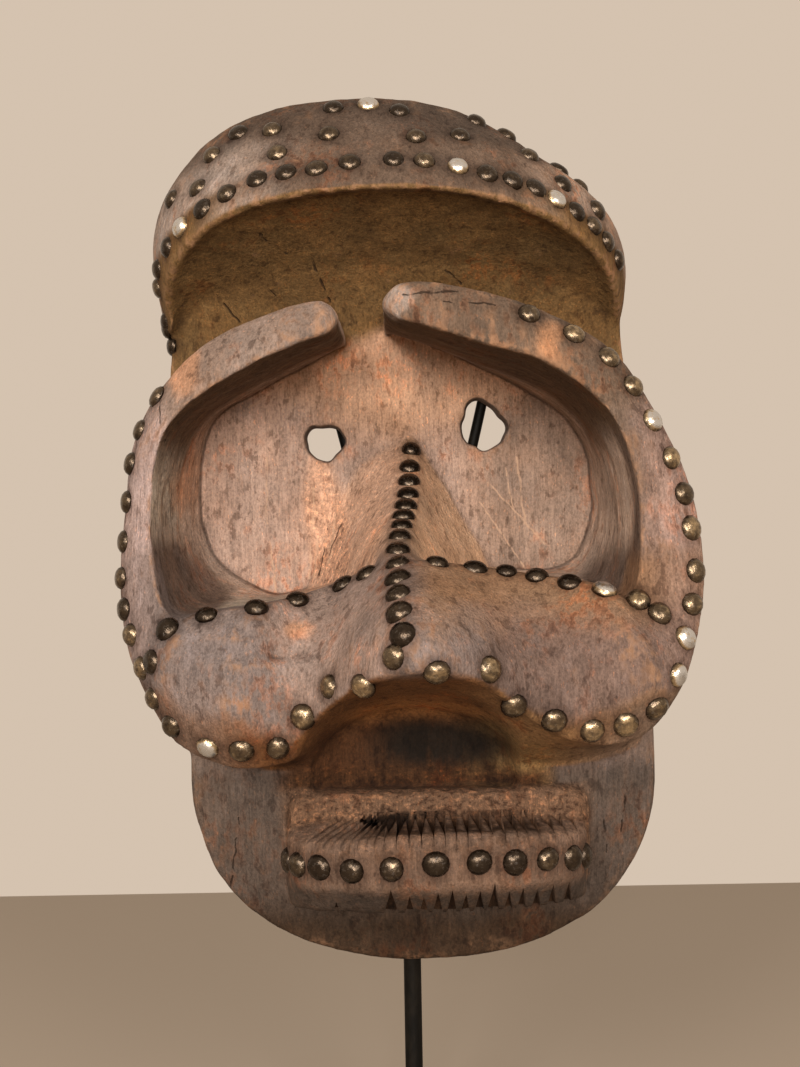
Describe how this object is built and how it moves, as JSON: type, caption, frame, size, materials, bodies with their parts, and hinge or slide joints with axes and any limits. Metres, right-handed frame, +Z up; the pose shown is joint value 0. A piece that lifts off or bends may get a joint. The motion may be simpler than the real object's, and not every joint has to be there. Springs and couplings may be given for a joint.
{
  "type": "carved face mask on a stand",
  "caption": "Carved wooden face mask with a jutting cap, horned cheeks, toothed mouth and domed metal tacks, held upright by a rod with a cradle on a flat base.",
  "frame": {"origin": "middle of the underside of the stand's base", "axes": "+Z up, the mask looks along -Y, +X is the viewer's right"},
  "size_m": [0.231, 0.2516, 0.5056],
  "materials": {
    "carved_wood": "aged dark hardwood with a dry patina, worn orange on the edges",
    "tack_brass": "aged brass, dark and polished by handling",
    "stand_steel": "blackened steel, satin"
  },
  "bodies": {
    "root": {"tack_nose_01": "tack_brass", "tack_nose_02": "tack_brass", "tack_nose_03": "tack_brass", "tack_nose_04": "tack_brass", "tack_nose_05": "tack_brass", "tack_nose_06": "tack_brass", "tack_nose_07": "tack_brass", "tack_nose_08": "tack_brass", "tack_nose_09": "tack_brass", "tack_nose_10": "tack_brass", "tack_nose_11": "tack_brass", "tack_nose_12": "tack_brass", "tack_nose_13": "tack_brass", "tack_nose_14": "tack_brass", "tack_crest_left_01": "tack_brass", "tack_crest_left_02": "tack_brass", "tack_crest_left_03": "tack_brass", "tack_crest_left_04": "tack_brass", "tack_crest_left_05": "tack_brass", "tack_crest_left_06": "tack_brass", "tack_crest_left_07": "tack_brass", "tack_crest_right_01": "tack_brass", "tack_crest_right_02": "tack_brass", "tack_crest_right_03": "tack_brass", "tack_crest_right_04": "tack_brass", "tack_crest_right_05": "tack_brass", "tack_crest_right_06": "tack_brass", "tack_crest_right_07": "tack_brass", "tack_crest_right_08": "tack_brass", "tack_mouth_01": "tack_brass", "tack_mouth_02": "tack_brass", "tack_mouth_03": "tack_brass", "tack_mouth_04": "tack_brass", "tack_mouth_05": "tack_brass", "tack_mouth_06": "tack_brass", "tack_mouth_07": "tack_brass", "tack_mouth_08": "tack_brass", "tack_mouth_09": "tack_brass", "tack_mouth_10": "tack_brass", "tack_mouth_11": "tack_brass", "tack_lip_01": "tack_brass", "tack_lip_02": "tack_brass", "tack_lip_03": "tack_brass", "tack_lip_04": "tack_brass", "tack_lip_05": "tack_brass", "tack_lip_06": "tack_brass", "tack_lip_07": "tack_brass", "tack_lip_08": "tack_brass", "tack_lip_09": "tack_brass", "tack_lip_10": "tack_brass", "tack_lip_11": "tack_brass", "tack_lip_12": "tack_brass", "tack_lip_13": "tack_brass", "tack_lip_14": "tack_brass", "tack_lip_15": "tack_brass", "mask_body": "carved_wood", "stand_rod": "stand_steel", "stand_base": "stand_steel"}
  },
  "joints": []
}
